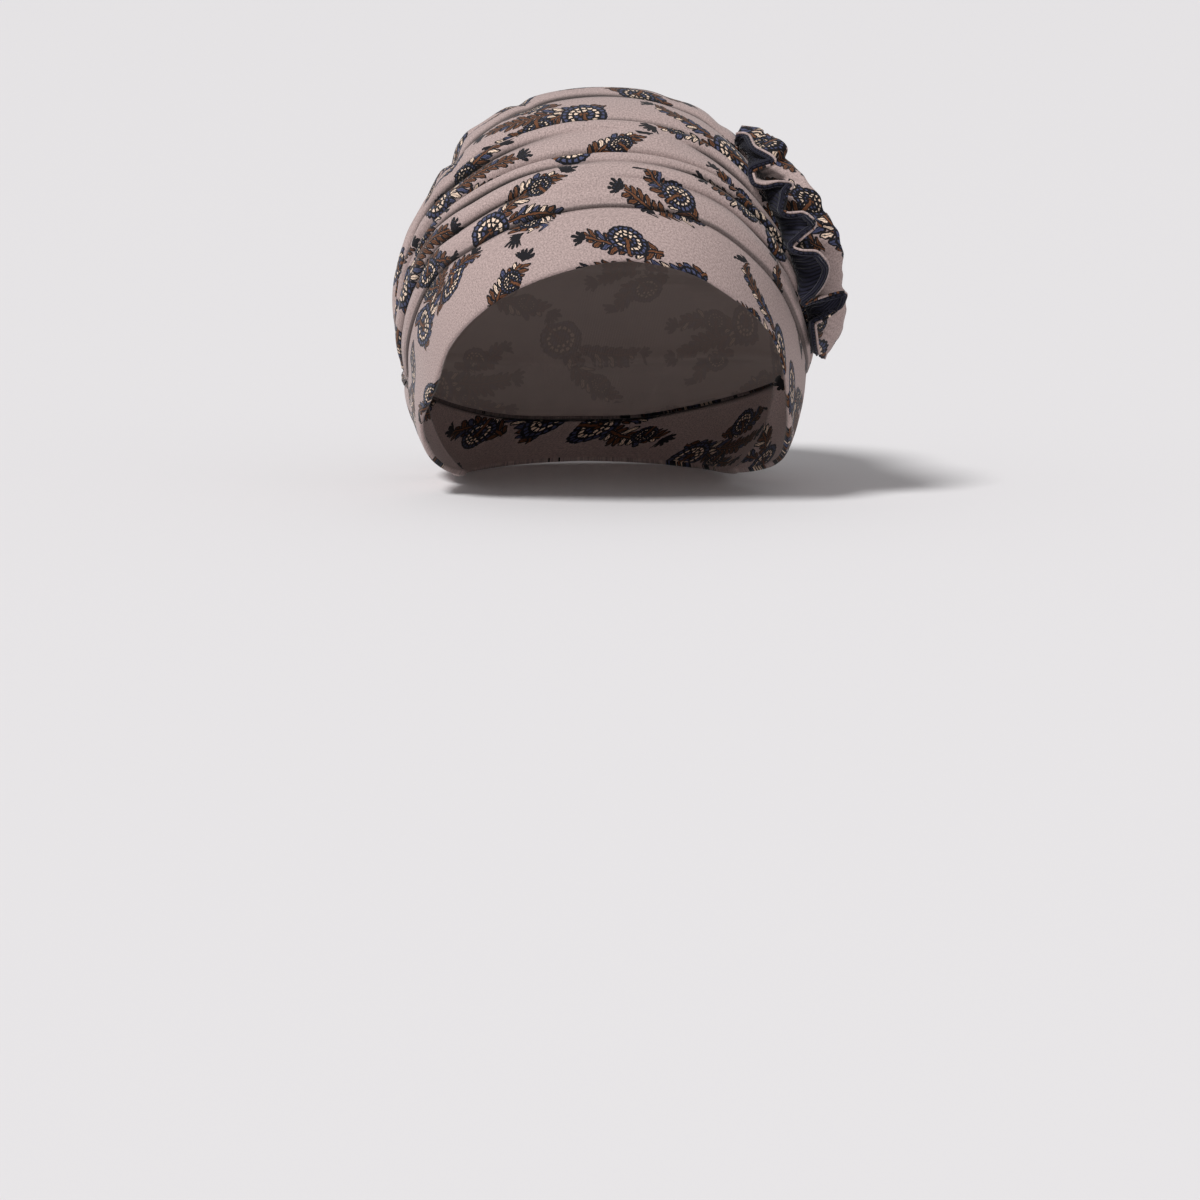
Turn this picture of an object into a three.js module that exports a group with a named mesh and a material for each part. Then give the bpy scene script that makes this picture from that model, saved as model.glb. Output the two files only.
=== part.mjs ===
// A pull-on jersey turban: a plain band round the head, a gathered crown, and a two-faced ruffle on the left.
// Millimetres, +Z up. The face opening looks along -Y and the wearer's left is +X.
// The origin lies midway between the ears. "side" is an angle from the middle towards an ear (left is plus),
// and "sweep" is an angle round the line through the ears: 0 forward, 90 up, 180 back, 270 down.
import * as THREE from "three";

// Head-hugging form
const halfWidth = 91; // middle to the fullest point over each ear
const reach = 124; // ear line to the front and top of the crown

// Cloth
const crownWall = 2.0; // two layers of jersey, crown
const bandWall = 2.0; // jersey folded double, band
const ruffleWall = 0.9; // each of the ruffle's two layers
const seamGap = 0.3; // clearance where pieces are sewn to each other
const layerGap = 0.3; // clearance between the ruffle's two layers

// Crown folds and ruffle
const foldHeight = 7.5; // the highest fold over the head-hugging form
const foldTaper = 0.6; // how fast the folds flatten towards the ears: power of the side angle's cosine
const earGather = 6; // degrees short of the ear line's end, where the crown's gathers end over each ear
const ruffleWidth = 20; // sewn line to either free edge of the ruffle
const ruffleSeat = 4.5; // half the width of crown that the sewn line rides over
const hemHeight = 56; // forehead hem over the ear line
const napeDrop = 47; // nape hem below the ear line

// Section of the form at each sweep angle: reach and width as shares of the named sizes, and how square it is
const sections = [
  { sweep: -90, reach: 0.48, width: 0.83, square: 2.3 },
  { sweep: -60, reach: 0.6, width: 0.88, square: 2.3 },
  { sweep: -25, reach: 0.855, width: 0.925, square: 2.3 },
  { sweep: 10, reach: 0.952, width: 0.945, square: 2.3 },
  { sweep: 38, reach: 0.995, width: 0.965, square: 2.35 },
  { sweep: 60, reach: 0.955, width: 0.955, square: 2.4 },
  { sweep: 90, reach: 0.93, width: 0.95, square: 2.4 },
  { sweep: 115, reach: 0.93, width: 0.95, square: 2.4 },
  { sweep: 140, reach: 0.925, width: 0.945, square: 2.35 },
  { sweep: 160, reach: 0.885, width: 0.945, square: 2.3 },
  { sweep: 180, reach: 0.845, width: 0.94, square: 2.3 },
  { sweep: 205, reach: 0.806, width: 0.92, square: 2.3 },
  { sweep: 235, reach: 0.6, width: 0.88, square: 2.3 },
  { sweep: 270, reach: 0.48, width: 0.83, square: 2.3 },
];

// Sewn line between band and crown, as sweep angles in front and behind at each side angle
const seamRows = [
  { side: -84, front: 13, back: 189 },
  { side: -64, front: 26.5, back: 191 },
  { side: -46, front: 37, back: 193 },
  { side: -30, front: 37.4, back: 195 },
  { side: -17, front: 38.5, back: 196 },
  { side: 0, front: 39.2, back: 196 },
  { side: 16, front: 37, back: 196 },
  { side: 27, front: 33, back: 195 },
  { side: 38, front: 28.3, back: 194 },
  { side: 60, front: 15.5, back: 192 },
  { side: 84, front: 7, back: 189 },
];

// Band's hem: height over the ear line as a share of hemHeight in front, of napeDrop below it, at each turn
// round the head (0 is the forehead, plus is to the left)
const hemRows = [
  { turn: -180, height: -0.98 },
  { turn: -140, height: -1.0 },
  { turn: -105, height: -0.95 },
  { turn: -80, height: -0.84 },
  { turn: -65, height: -0.6 },
  { turn: -60, height: -0.29 },
  { turn: -55, height: -0.15 },
  { turn: -48, height: 0.07 },
  { turn: -42, height: 0.34 },
  { turn: -29, height: 0.68 },
  { turn: -18, height: 0.87 },
  { turn: -6, height: 0.985 },
  { turn: 3, height: 1.0 },
  { turn: 14, height: 0.91 },
  { turn: 22.5, height: 0.75 },
  { turn: 35, height: 0.45 },
  { turn: 41, height: 0.2 },
  { turn: 47, height: -0.2 },
  { turn: 54, height: -0.55 },
  { turn: 70, height: -0.8 },
  { turn: 105, height: -0.95 },
  { turn: 140, height: -1.0 },
  { turn: 180, height: -0.98 },
];

// Folds from the front seam to the back seam. A row is a crest or the crease between two crests. Its place is
// a share of the way from seam to seam and its lift a share of foldHeight: over the right ear, on the middle,
// and at the ruffle. steps is the number of faces up to the next row.
const foldRows = [
  { rightAt: 0, midAt: 0, leftAt: 0, rightLift: 0, midLift: 0, leftLift: 0, steps: 1 },
  { rightAt: 0.03, midAt: 0.02, leftAt: 0.03, rightLift: 0.35, midLift: 0.26, leftLift: 0.26, steps: 1 },
  { rightAt: 0.055, midAt: 0.038, leftAt: 0.052, rightLift: -0.05, midLift: 0.2, leftLift: 0.22, steps: 1 },
  { rightAt: 0.12, midAt: 0.06, leftAt: 0.07, rightLift: 0.75, midLift: 0.5, leftLift: 0.42, steps: 1 },
  { rightAt: 0.19, midAt: 0.094, leftAt: 0.087, rightLift: -0.1, midLift: 0.06, leftLift: 0.05, steps: 1 },
  { rightAt: 0.215, midAt: 0.107, leftAt: 0.096, rightLift: 0.75, midLift: 0.82, leftLift: 0.6, steps: 1 },
  { rightAt: 0.236, midAt: 0.148, leftAt: 0.104, rightLift: 0.5, midLift: 0.72, leftLift: 0.12, steps: 1 },
  { rightAt: 0.252, midAt: 0.162, leftAt: 0.122, rightLift: 0.8, midLift: 0.84, leftLift: 0.6, steps: 1 },
  { rightAt: 0.268, midAt: 0.184, leftAt: 0.14, rightLift: 0.35, midLift: 0.62, leftLift: 0.2, steps: 1 },
  { rightAt: 0.284, midAt: 0.217, leftAt: 0.165, rightLift: 0.5, midLift: 0.8, leftLift: 0.7, steps: 1 },
  { rightAt: 0.3, midAt: 0.262, leftAt: 0.195, rightLift: -0.4, midLift: 0.5, leftLift: 0.1, steps: 1 },
  { rightAt: 0.32, midAt: 0.315, leftAt: 0.25, rightLift: -0.3, midLift: 0.8, leftLift: 0.6, steps: 1 },
  { rightAt: 0.345, midAt: 0.365, leftAt: 0.31, rightLift: -0.9, midLift: 0.4, leftLift: 0.05, steps: 2 },
  { rightAt: 0.42, midAt: 0.44, leftAt: 0.38, rightLift: -0.6, midLift: 1.1, leftLift: 0.6, steps: 2 },
  { rightAt: 0.485, midAt: 0.505, leftAt: 0.45, rightLift: -0.6, midLift: 0.3, leftLift: 0.1, steps: 2 },
  { rightAt: 0.55, midAt: 0.565, leftAt: 0.53, rightLift: 0.8, midLift: 0.75, leftLift: 0.75, steps: 2 },
  { rightAt: 0.615, midAt: 0.63, leftAt: 0.61, rightLift: 0.05, midLift: 0.15, leftLift: 0.05, steps: 2 },
  { rightAt: 0.685, midAt: 0.695, leftAt: 0.69, rightLift: 0.75, midLift: 0.65, leftLift: 0.7, steps: 2 },
  { rightAt: 0.76, midAt: 0.77, leftAt: 0.77, rightLift: 0.05, midLift: 0.15, leftLift: 0.05, steps: 2 },
  { rightAt: 0.835, midAt: 0.84, leftAt: 0.84, rightLift: 0.6, midLift: 0.5, leftLift: 0.6, steps: 2 },
  { rightAt: 0.91, midAt: 0.91, leftAt: 0.91, rightLift: 0.05, midLift: 0.1, leftLift: 0.05, steps: 1 },
  { rightAt: 0.955, midAt: 0.955, leftAt: 0.955, rightLift: 0.35, midLift: 0.3, leftLift: 0.35, steps: 1 },
  { rightAt: 1, midAt: 1, leftAt: 1, rightLift: 0, midLift: 0, leftLift: 0, steps: 0 },
];
// Side angles that the right and left columns are given at, how far past them the folds still drift, and the
// power that keeps the folds level over the middle and turns them down near the ears
const foldSides = { right: -55, left: 32, drift: 1.1, bend: 3 };

// The line that the ruffle is sewn along, from the top of the crown down to the ear
const ruffleLine = [
  { side: 26.5, sweep: 71 },
  { side: 29, sweep: 61 },
  { side: 31.5, sweep: 51 },
  { side: 36, sweep: 42.5 },
  { side: 41.5, sweep: 35.5 },
  { side: 48.5, sweep: 28.5 },
  { side: 58, sweep: 20 },
];

// Free edges of the ruffle: how far along the sewn line, and how far out over the line and off the crown as
// shares of ruffleWidth
const frontEdge = [
  { along: 0.06, over: 0.3, off: 0.2 },
  { along: 0.09, over: 0.15, off: 0.34 },
  { along: 0.16, over: 0.2, off: 0.35 },
  { along: 0.25, over: 0, off: 0.56 },
  { along: 0.265, over: 0.2, off: 0.4 },
  { along: 0.275, over: 0.42, off: 0.2 },
  { along: 0.315, over: 0.45, off: 0.2 },
  { along: 0.335, over: 0.38, off: 0.3 },
  { along: 0.35, over: 0.15, off: 0.54 },
  { along: 0.37, over: 0, off: 0.68 },
  { along: 0.39, over: 0.1, off: 0.54 },
  { along: 0.42, over: 0.2, off: 0.4 },
  { along: 0.45, over: 0.2, off: 0.42 },
  { along: 0.475, over: 0.05, off: 0.75 },
  { along: 0.515, over: 0, off: 0.82 },
  { along: 0.536, over: 0.15, off: 0.54 },
  { along: 0.555, over: 0.3, off: 0.28 },
  { along: 0.58, over: 0.3, off: 0.46 },
  { along: 0.61, over: 0.15, off: 0.72 },
  { along: 0.66, over: 0.05, off: 0.76 },
  { along: 0.72, over: 0.1, off: 0.6 },
  { along: 0.76, over: 0.25, off: 0.35 },
  { along: 0.775, over: 0.4, off: 0.16 },
  { along: 0.785, over: 0.25, off: 0.3 },
  { along: 0.79, over: 0, off: 0.54 },
  { along: 0.805, over: -0.15, off: 0.85 },
  { along: 0.85, over: -0.1, off: 0.7 },
  { along: 0.865, over: 0.1, off: 0.4 },
  { along: 0.87, over: 0.28, off: 0.18 },
  { along: 0.94, over: 0.3, off: 0.14 },
  { along: 1.03, over: 0.25, off: 0.12 },
];
const backEdge = [
  { along: -0.08, over: -0.3, off: 0.12 },
  { along: -0.01, over: -0.45, off: 0.34 },
  { along: 0.08, over: -0.5, off: 0.42 },
  { along: 0.15, over: -0.5, off: 0.58 },
  { along: 0.16, over: -0.68, off: 0.28 },
  { along: 0.23, over: -0.7, off: 0.41 },
  { along: 0.33, over: -0.65, off: 0.57 },
  { along: 0.42, over: -0.7, off: 0.67 },
  { along: 0.48, over: -0.8, off: 0.58 },
  { along: 0.54, over: -0.75, off: 0.73 },
  { along: 0.62, over: -0.75, off: 0.76 },
  { along: 0.7, over: -0.8, off: 0.68 },
  { along: 0.79, over: -0.85, off: 0.55 },
  { along: 0.85, over: -0.8, off: 0.52 },
  { along: 0.91, over: -0.75, off: 0.57 },
  { along: 0.98, over: -0.7, off: 0.54 },
  { along: 1.05, over: -0.6, off: 0.46 },
  { along: 1.1, over: -0.5, off: 0.32 },
  { along: 1.14, over: -0.4, off: 0.16 },
  { along: 1.15, over: -0.25, off: 0.1 },
];
const ruffleHollow = 0.1; // how much each side of the ruffle hollows, as a share of its width

// Faces
const crownColumns = 40;
const bandRows = 3;
const earColumnStep = 3; // the band takes every third of the crown's end points over each ear
const ruffleColumns = 72;
const ruffleRowsPerSide = 3;

const degree = Math.PI / 180;
const earSide = 90 - earGather; // side angle that the crown ends at

// A value of a table at a place, by a smooth curve through its rows
function tableValue(rows, place, column, at) {
  const last = rows.length - 1;
  let k = 0;
  while (k < last - 1 && at > rows[k + 1][place]) k += 1;
  const a = rows[Math.max(k - 1, 0)];
  const b = rows[k];
  const c = rows[k + 1];
  const d = rows[Math.min(k + 2, last)];
  const width = c[place] - b[place];
  const t = THREE.MathUtils.clamp((at - b[place]) / width, 0, 1);
  const slopeB = ((c[column] - a[column]) / (c[place] - a[place])) * width;
  const slopeC = ((d[column] - b[column]) / (d[place] - b[place])) * width;
  const t2 = t * t;
  const t3 = t2 * t;
  return (
    (2 * t3 - 3 * t2 + 1) * b[column] +
    (t3 - 2 * t2 + t) * slopeB +
    (3 * t2 - 2 * t3) * c[column] +
    (t3 - t2) * slopeC
  );
}

// The same where the rows are evenly spaced from 0 to 1
function evenValue(rows, column, share) {
  const placed = rows.map((row, k) => ({ place: k / (rows.length - 1), value: row[column] }));
  return tableValue(placed, "place", "value", share);
}

function direction(side, sweep) {
  const s = side * degree;
  const w = sweep * degree;
  return new THREE.Vector3(Math.sin(s), -Math.cos(s) * Math.cos(w), Math.cos(s) * Math.sin(w));
}

// Side and sweep angles of a direction
function anglesOf(d) {
  let sweep = Math.atan2(d.z, -d.y) / degree;
  if (sweep < -90) sweep += 360;
  return { side: Math.asin(THREE.MathUtils.clamp(d.x, -1, 1)) / degree, sweep };
}

// Radius of the head-hugging form along a direction
function formRadius(d) {
  const { side, sweep } = anglesOf(d);
  const square = tableValue(sections, "sweep", "square", sweep);
  const wide = halfWidth * tableValue(sections, "sweep", "width", sweep);
  const far = reach * tableValue(sections, "sweep", "reach", sweep);
  const across = Math.abs(Math.sin(side * degree)) / wide;
  const along = Math.cos(side * degree) / far;
  return (across ** square + along ** square) ** (-1 / square);
}

function onForm(d, lift) {
  return d.clone().multiplyScalar(formRadius(d) + lift);
}

// Value of a fold row's three columns at a side angle
function acrossSides(right, mid, left, side) {
  const end = side < 0 ? right : left;
  const share = Math.min(side / (side < 0 ? foldSides.right : foldSides.left), foldSides.drift);
  return mid + (end - mid) * share ** foldSides.bend;
}

// Folds flatten as they bunch towards the ears
function foldScale(side) {
  return foldHeight * Math.cos(side * degree) ** foldTaper;
}

// The crown's rows of vertices: crests and creases, with round crests and sharp creases between them
function crownStations() {
  const stations = [];
  foldRows.forEach((row, k) => {
    const next = foldRows[k + 1];
    const count = Math.max(row.steps, 1);
    for (let n = 0; n < count; n += 1) {
      stations.push({ row, next: next ?? row, share: n / count });
    }
  });
  return stations;
}

function stationPlace(station, side) {
  const { row, next, share } = station;
  const a = acrossSides(row.rightAt, row.midAt, row.leftAt, side);
  const b = acrossSides(next.rightAt, next.midAt, next.leftAt, side);
  return a + (b - a) * share;
}

function stationLift(station, side) {
  const { row, next, share } = station;
  const a = acrossSides(row.rightLift, row.midLift, row.leftLift, side);
  const b = acrossSides(next.rightLift, next.midLift, next.leftLift, side);
  const rising = b > a;
  const eased = rising ? Math.sin((share * Math.PI) / 2) : 1 - Math.cos((share * Math.PI) / 2);
  return (a + (b - a) * eased) * foldScale(side);
}

function seamSweep(side, share) {
  const front = tableValue(seamRows, "side", "front", side);
  const back = tableValue(seamRows, "side", "back", side);
  return front + (back - front) * share;
}

// A closed wall between two grids of points. Columns close on themselves where wraps is true.
function wallGeometry(outer, inner, wraps) {
  const columns = outer.length;
  const rows = outer[0].length;
  const positions = [outer, inner].flat(2).flatMap((p) => [p.x, p.y, p.z]);
  const index = [];
  const id = (layer, i, j) => layer * columns * rows + (i % columns) * rows + j;
  const quad = (a, b, c, d) => index.push(a, b, c, a, c, d);
  const spans = wraps ? columns : columns - 1;
  for (let i = 0; i < spans; i += 1) {
    for (let j = 0; j < rows - 1; j += 1) {
      quad(id(0, i, j), id(0, i + 1, j), id(0, i + 1, j + 1), id(0, i, j + 1));
      quad(id(1, i, j), id(1, i, j + 1), id(1, i + 1, j + 1), id(1, i + 1, j));
    }
    quad(id(0, i, 0), id(1, i, 0), id(1, i + 1, 0), id(0, i + 1, 0));
    quad(id(0, i, rows - 1), id(0, i + 1, rows - 1), id(1, i + 1, rows - 1), id(1, i, rows - 1));
  }
  if (!wraps) {
    for (let j = 0; j < rows - 1; j += 1) {
      const end = columns - 1;
      quad(id(0, 0, j), id(0, 0, j + 1), id(1, 0, j + 1), id(1, 0, j));
      quad(id(0, end, j), id(1, end, j), id(1, end, j + 1), id(0, end, j + 1));
    }
  }
  const geometry = new THREE.BufferGeometry();
  geometry.setAttribute("position", new THREE.Float32BufferAttribute(positions, 3));
  geometry.setIndex(index);
  if (signedVolume(positions, index) < 0) {
    geometry.setIndex(index.reverse());
  }
  geometry.computeVertexNormals();
  return geometry;
}

function signedVolume(positions, index) {
  const corner = (n) => new THREE.Vector3().fromArray(positions, index[n] * 3);
  let sum = 0;
  for (let n = 0; n < index.length; n += 3) sum += corner(n).dot(corner(n + 1).cross(corner(n + 2)));
  return sum / 6;
}

// The crown
const stations = crownStations();

function crownDirection(station, side, gap) {
  const radius = halfWidth * Math.cos(side * degree);
  const margin = gap / radius / degree;
  const front = seamSweep(side, 0) + margin;
  const back = seamSweep(side, 1) - margin;
  return direction(side, front + (back - front) * stationPlace(station, side));
}

function crownSides() {
  return Array.from({ length: crownColumns + 1 }, (_, i) => earSide * ((2 * i) / crownColumns - 1));
}

function makeCrown() {
  const outer = crownSides().map((side) =>
    stations.map((station) => onForm(crownDirection(station, side, seamGap / 2), stationLift(station, side))),
  );
  const inner = outer.map((column) => column.map((p) => p.clone().setLength(p.length() - crownWall)));
  return wallGeometry(outer, inner, false);
}

// The band: its top edge follows the crown's edge all round, its hem frames the face and crosses the nape
function crownEdgeLoop() {
  const sides = crownSides();
  const gapSide = seamGap / halfWidth / degree;
  const last = stations.length - 1;
  const inEar = stations.filter((_, j) => j % earColumnStep === 0 && j > 0 && j < last);
  const front = sides.map((side) => crownDirection(stations[0], side, -seamGap / 2));
  const leftEar = inEar.map((station) => crownDirection(station, earSide + gapSide, seamGap / 2));
  const back = sides.map((side) => crownDirection(stations[last], side, -seamGap / 2)).reverse();
  const rightEar = inEar.map((station) => crownDirection(station, -earSide - gapSide, seamGap / 2)).reverse();
  return [...front, ...leftEar, ...back, ...rightEar];
}

// Direction of the hem point at a turn round the head, found by its height
const steepestHem = 60; // degrees above and below the ear line
const halvings = 30;
function hemDirection(turn) {
  const share = tableValue(hemRows, "turn", "height", turn);
  const height = share * (share > 0 ? hemHeight : napeDrop);
  let low = -steepestHem;
  let high = steepestHem;
  const at = (rise) => {
    const r = rise * degree;
    const t = turn * degree;
    return new THREE.Vector3(Math.cos(r) * Math.sin(t), -Math.cos(r) * Math.cos(t), Math.sin(r));
  };
  for (let n = 0; n < halvings; n += 1) {
    const middle = (low + high) / 2;
    const d = at(middle);
    if (formRadius(d) * d.z < height) low = middle;
    else high = middle;
  }
  return at(low);
}

function makeBand() {
  const outer = crownEdgeLoop().map((top) => {
    const hem = hemDirection(Math.atan2(top.x, -top.y) / degree);
    return Array.from({ length: bandRows + 1 }, (_, j) =>
      onForm(hem.clone().lerp(top, j / bandRows).normalize(), 0),
    );
  });
  const inner = outer.map((column) => column.map((p) => p.clone().setLength(p.length() - bandWall)));
  return wallGeometry(outer, inner, true);
}

// Height of the crown's cloth over the form at a direction
function crownLift(d) {
  const { side, sweep } = anglesOf(d);
  const share = (sweep - seamSweep(side, 0)) / (seamSweep(side, 1) - seamSweep(side, 0));
  let k = 0;
  while (k < stations.length - 2 && stationPlace(stations[k + 1], side) < share) k += 1;
  const a = stationPlace(stations[k], side);
  const b = stationPlace(stations[k + 1], side);
  const t = THREE.MathUtils.clamp((share - a) / (b - a), 0, 1);
  return THREE.MathUtils.lerp(stationLift(stations[k], side), stationLift(stations[k + 1], side), t);
}

const tangentStep = 0.01; // share of the sewn line
const seatShares = [-1, -0.5, 0, 0.5, 1]; // where the crown's lift is taken across the seat

// The ruffle's sewn line: its point and the directions along it, over it to the front, and off the crown
function ruffleFrame(along) {
  const place = (s) => direction(evenValue(ruffleLine, "side", s), evenValue(ruffleLine, "sweep", s));
  const inside = THREE.MathUtils.clamp(along, 0, 1);
  const from = Math.max(inside - tangentStep, 0);
  const to = Math.min(inside + tangentStep, 1);
  const tangent = onForm(place(to), 0).sub(onForm(place(from), 0));
  const length = tangent.length() / (to - from);
  tangent.normalize();
  const outward = place(inside);
  const front = outward.clone().cross(tangent).normalize();
  if (front.y > 0) front.negate();
  const off = tangent.clone().cross(front).normalize();
  if (off.dot(outward) < 0) off.negate();
  const middle = onForm(outward, 0);
  const nearby = seatShares.map((w) => middle.clone().addScaledVector(front, w * ruffleSeat).normalize());
  const lift = Math.max(...nearby.map(crownLift)) + seamGap + ruffleWall + layerGap / 2;
  const point = onForm(outward, lift).addScaledVector(tangent, (along - inside) * length);
  return { point, tangent, front, off };
}

function edgePoint(rows, share) {
  const frame = ruffleFrame(evenValue(rows, "along", share));
  return frame.point
    .clone()
    .addScaledVector(frame.front, evenValue(rows, "over", share) * ruffleWidth)
    .addScaledVector(frame.off, evenValue(rows, "off", share) * ruffleWidth);
}

// Middle surface of the ruffle: columns run along the seam, rows from the back edge over it to the front edge
function ruffleGrid() {
  return Array.from({ length: ruffleColumns + 1 }, (_, i) => {
    const share = i / ruffleColumns;
    const sewn = ruffleFrame(share);
    const column = [];
    for (let j = -ruffleRowsPerSide; j <= ruffleRowsPerSide; j += 1) {
      const out = Math.abs(j) / ruffleRowsPerSide;
      const edge = edgePoint(j < 0 ? backEdge : frontEdge, share);
      const hollow = -Math.sin(out * Math.PI) * ruffleHollow * ruffleWidth;
      column.push(sewn.point.clone().lerp(edge, out).addScaledVector(sewn.off, hollow * (1 - out)));
    }
    return column;
  });
}

// One layer of the ruffle between two distances from its middle surface
function makeRuffleLayer(from, to) {
  const grid = ruffleGrid();
  const lastColumn = grid.length - 1;
  const lastRow = grid[0].length - 1;
  const offset = (distance) =>
    grid.map((column, i) =>
      column.map((p, j) => {
        const along = grid[Math.min(i + 1, lastColumn)][j].clone().sub(grid[Math.max(i - 1, 0)][j]);
        const across = grid[i][Math.min(j + 1, lastRow)].clone().sub(grid[i][Math.max(j - 1, 0)]);
        const normal = along.cross(across).normalize();
        return p.clone().addScaledVector(normal, distance);
      }),
    );
  return wallGeometry(offset(from), offset(to), false);
}

const printedJersey = new THREE.MeshStandardMaterial({ color: 0xb09e98, roughness: 0.85, metalness: 0 });
const plainJersey = new THREE.MeshStandardMaterial({ color: 0xae9c96, roughness: 0.85, metalness: 0 });
const ruffleJersey = new THREE.MeshStandardMaterial({ color: 0xa8958f, roughness: 0.85, metalness: 0 });
const navyRib = new THREE.MeshStandardMaterial({ color: 0x2d3041, roughness: 0.9, metalness: 0 });

function named(name, geometry, material) {
  const mesh = new THREE.Mesh(geometry, material);
  mesh.name = name;
  return mesh;
}

const turban = new THREE.Group();
turban.add(named("head_band", makeBand(), plainJersey));
turban.add(named("crown", makeCrown(), printedJersey));
turban.add(named("ruffle_face", makeRuffleLayer(-layerGap / 2, -layerGap / 2 - ruffleWall), ruffleJersey));
turban.add(named("ruffle_backing", makeRuffleLayer(layerGap / 2, layerGap / 2 + ruffleWall), navyRib));

export default turban;
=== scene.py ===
import bpy
import math
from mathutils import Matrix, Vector, noise


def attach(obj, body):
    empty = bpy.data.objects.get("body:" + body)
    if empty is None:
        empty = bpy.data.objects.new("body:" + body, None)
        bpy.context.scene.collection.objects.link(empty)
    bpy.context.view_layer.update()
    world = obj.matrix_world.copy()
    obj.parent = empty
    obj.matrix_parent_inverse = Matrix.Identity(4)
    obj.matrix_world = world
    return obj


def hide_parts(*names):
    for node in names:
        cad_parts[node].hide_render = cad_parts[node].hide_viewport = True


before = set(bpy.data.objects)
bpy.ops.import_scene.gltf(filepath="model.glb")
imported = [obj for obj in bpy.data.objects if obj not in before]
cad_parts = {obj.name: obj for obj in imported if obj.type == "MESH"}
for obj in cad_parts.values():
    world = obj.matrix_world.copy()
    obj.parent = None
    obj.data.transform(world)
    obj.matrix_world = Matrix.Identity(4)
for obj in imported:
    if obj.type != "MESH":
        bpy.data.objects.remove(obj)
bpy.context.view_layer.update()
bpy.ops.object.select_all(action="DESELECT")
mm = 0.001
degree = math.pi / 180
fullTurn = 2 * math.pi
clothUnit = 100  # millimetres of cloth to one unit on its map

# The head-hugging form, in millimetres and degrees. side runs from the middle to an ear (left is plus),
# sweep round the line through the ears: 0 forward, 90 up, 180 back.
form = {
    "halfWidth": 91,
    "reach": 124,
    "hemHeight": 56,
    "napeDrop": 47,
    "seamGap": 0.3,
    "earSide": 84,
    "flattestSlope": 60,
    "pinchDepth": 4.2,
    "pinchHeight": 5,  # above the ears
    "pinchHigh": 15,  # how far it spreads up and down
    "pinchLong": 42,  # and to the front and back
}
# sweep, share of the reach, share of the half width, squareness
sections = [
    (-90, 0.48, 0.83, 2.3),
    (-60, 0.6, 0.88, 2.3),
    (-25, 0.855, 0.925, 2.3),
    (10, 0.952, 0.945, 2.3),
    (38, 0.995, 0.965, 2.35),
    (60, 0.955, 0.955, 2.4),
    (90, 0.93, 0.95, 2.4),
    (115, 0.93, 0.95, 2.4),
    (140, 0.925, 0.945, 2.35),
    (160, 0.885, 0.945, 2.3),
    (180, 0.845, 0.94, 2.3),
    (205, 0.806, 0.92, 2.3),
    (235, 0.6, 0.88, 2.3),
    (270, 0.48, 0.83, 2.3),
]
# side, sweep of the seam in front, sweep of the seam behind
seamRows = [
    (-84, 13, 189),
    (-64, 26.5, 191),
    (-46, 37, 193),
    (-30, 37.4, 195),
    (-17, 38.5, 196),
    (0, 39.2, 196),
    (16, 37, 196),
    (27, 33, 195),
    (38, 28.3, 194),
    (60, 15.5, 192),
    (84, 7, 189),
]
# turn round the head, height of the hem as a share of hemHeight, or of napeDrop below the ears
hemRows = [
    (-180, -0.98), (-140, -1.0), (-105, -0.95), (-80, -0.84),
    (-65, -0.6), (-60, -0.29), (-55, -0.15), (-48, 0.07),
    (-42, 0.34), (-29, 0.68), (-18, 0.87), (-6, 0.985),
    (3, 1.0), (14, 0.91), (22.5, 0.75), (35, 0.45),
    (41, 0.2), (47, -0.2), (54, -0.55), (70, -0.8),
    (105, -0.95), (140, -1.0), (180, -0.98),
]


def curveValue(rows, at, column):
    # smooth curve through one column of a table
    last = len(rows) - 1
    k = 0
    while k < last - 1 and at > rows[k + 1][0]:
        k += 1
    a = rows[max(k - 1, 0)]
    b = rows[k]
    c = rows[k + 1]
    d = rows[min(k + 2, last)]
    width = c[0] - b[0]
    t = min(max((at - b[0]) / width, 0), 1)
    slopeB = (c[column] - a[column]) / (c[0] - a[0]) * width
    slopeC = (d[column] - b[column]) / (d[0] - b[0]) * width
    t2 = t * t
    t3 = t2 * t
    return (
        (2 * t3 - 3 * t2 + 1) * b[column]
        + (t3 - 2 * t2 + t) * slopeB
        + (3 * t2 - 2 * t3) * c[column]
        + (t3 - t2) * slopeC
    )


def evenValue(rows, share, column):
    # the same for a table whose rows are evenly spaced along the piece
    placed = [(k / (len(rows) - 1), row[column]) for k, row in enumerate(rows)]
    return curveValue(placed, share, 1)


def direction(side, sweep):
    s = side * degree
    w = sweep * degree
    return Vector((math.sin(s), -math.cos(s) * math.cos(w), math.cos(s) * math.sin(w)))


def anglesOf(d):
    sweep = math.atan2(d.z, -d.y) / degree
    if sweep < -90:
        sweep += 360
    return math.asin(min(max(d.x, -1), 1)) / degree, sweep


def formRadius(d):
    side, sweep = anglesOf(d)
    square = curveValue(sections, sweep, 3)
    across = abs(math.sin(side * degree)) / (form["halfWidth"] * curveValue(sections, sweep, 2))
    along = math.cos(side * degree) / (form["reach"] * curveValue(sections, sweep, 1))
    return (across**square + along**square) ** (-1 / square)


def earPinch(d):
    # the folds draw the cloth in over the right ear
    near = d * form["halfWidth"]
    up = (near.z - form["pinchHeight"]) / form["pinchHigh"]
    along = near.y / form["pinchLong"]
    return form["pinchDepth"] * math.exp(-(up**2 + along**2)) * max(-d.x, 0)


def onForm(d, lift):
    return d * (formRadius(d) + lift - earPinch(d))


def seamSweep(side, share):
    front = curveValue(seamRows, side, 1)
    back = curveValue(seamRows, side, 2)
    return front + (back - front) * share


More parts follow.
